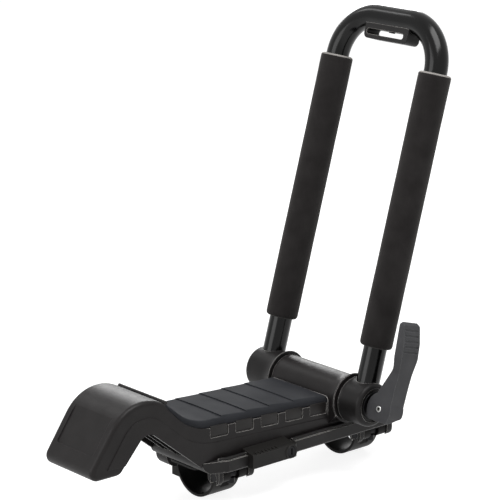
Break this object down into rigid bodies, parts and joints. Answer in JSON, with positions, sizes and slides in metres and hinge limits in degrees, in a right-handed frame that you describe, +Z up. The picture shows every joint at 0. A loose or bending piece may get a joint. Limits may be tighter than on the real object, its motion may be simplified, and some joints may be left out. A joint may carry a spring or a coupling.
{
  "type": "kayak carrier",
  "caption": "Folding j-style kayak carrier: wave-shaped moulded cradle with rubber seat, padded bent-tube upright, cam lever and strap clamps for a roof crossbar.",
  "frame": {"origin": "middle of the rubber face that sits on the crossbar, half way between the two straps", "axes": "+X along the crossbar from the hook to the upright, +Y along the boat away from the cam lever, +Z up"},
  "size_m": [0.4873, 0.2323, 0.5157],
  "materials": {
    "black_plastic": "satin",
    "grey_plastic": "satin",
    "bearing_plastic": "satin",
    "slate_rubber": "matte",
    "black_rubber": "matte",
    "foam": "matte",
    "coated_steel": "gloss",
    "bright_steel": "satin",
    "dark_metal": "satin",
    "brass": "satin"
  },
  "bodies": {
    "base": {"base_tray": "black_plastic", "saddle_pad": "black_rubber", "cradle_shell": "black_plastic", "seat_pad": "slate_rubber", "lock_housing": "black_plastic", "front_strap": "coated_steel", "rear_strap": "coated_steel", "strap_barrels": "dark_metal", "strap_hinge_pins": "dark_metal", "clamp_bolts": "dark_metal", "clamp_inserts": "brass", "cradle_screws": "bright_steel", "pivot_bush_near": "bearing_plastic", "pivot_bush_far": "bearing_plastic", "friction_disc_near": "black_rubber", "friction_disc_far": "black_rubber"},
    "upright": {"arm_tube": "coated_steel", "foam_near": "foam", "foam_far": "foam", "near_hub": "black_plastic", "far_hub": "black_plastic", "far_end_cap": "black_plastic", "strap_bracket": "black_plastic", "bracket_screws": "dark_metal", "tension_rod": "bright_steel", "rod_nut": "bright_steel", "pressure_plate": "dark_metal"},
    "lever": {"cam_lever": "grey_plastic", "lever_pin": "bright_steel"},
    "lock": {"lock_cylinder": "dark_metal"}
  },
  "joints": [
    {"name": "upright_fold", "type": "hinge", "parent": "base", "child": "upright", "pos_m": [0.0565, 0, 0.05], "axis": [0, 1, 0], "range_deg": [-106, 0]},
    {"name": "lever_swing", "type": "hinge", "parent": "upright", "child": "lever", "pos_m": [0.0565, -0.114, 0.05], "axis": [0.9611, 0, -0.2763], "range_deg": [0, 100]},
    {"name": "lock_turn", "type": "hinge", "parent": "base", "child": "lock", "pos_m": [-0.0405, -0.066, 0.0105], "axis": [0, 1, 0], "range_deg": [0, 90]}
  ]
}
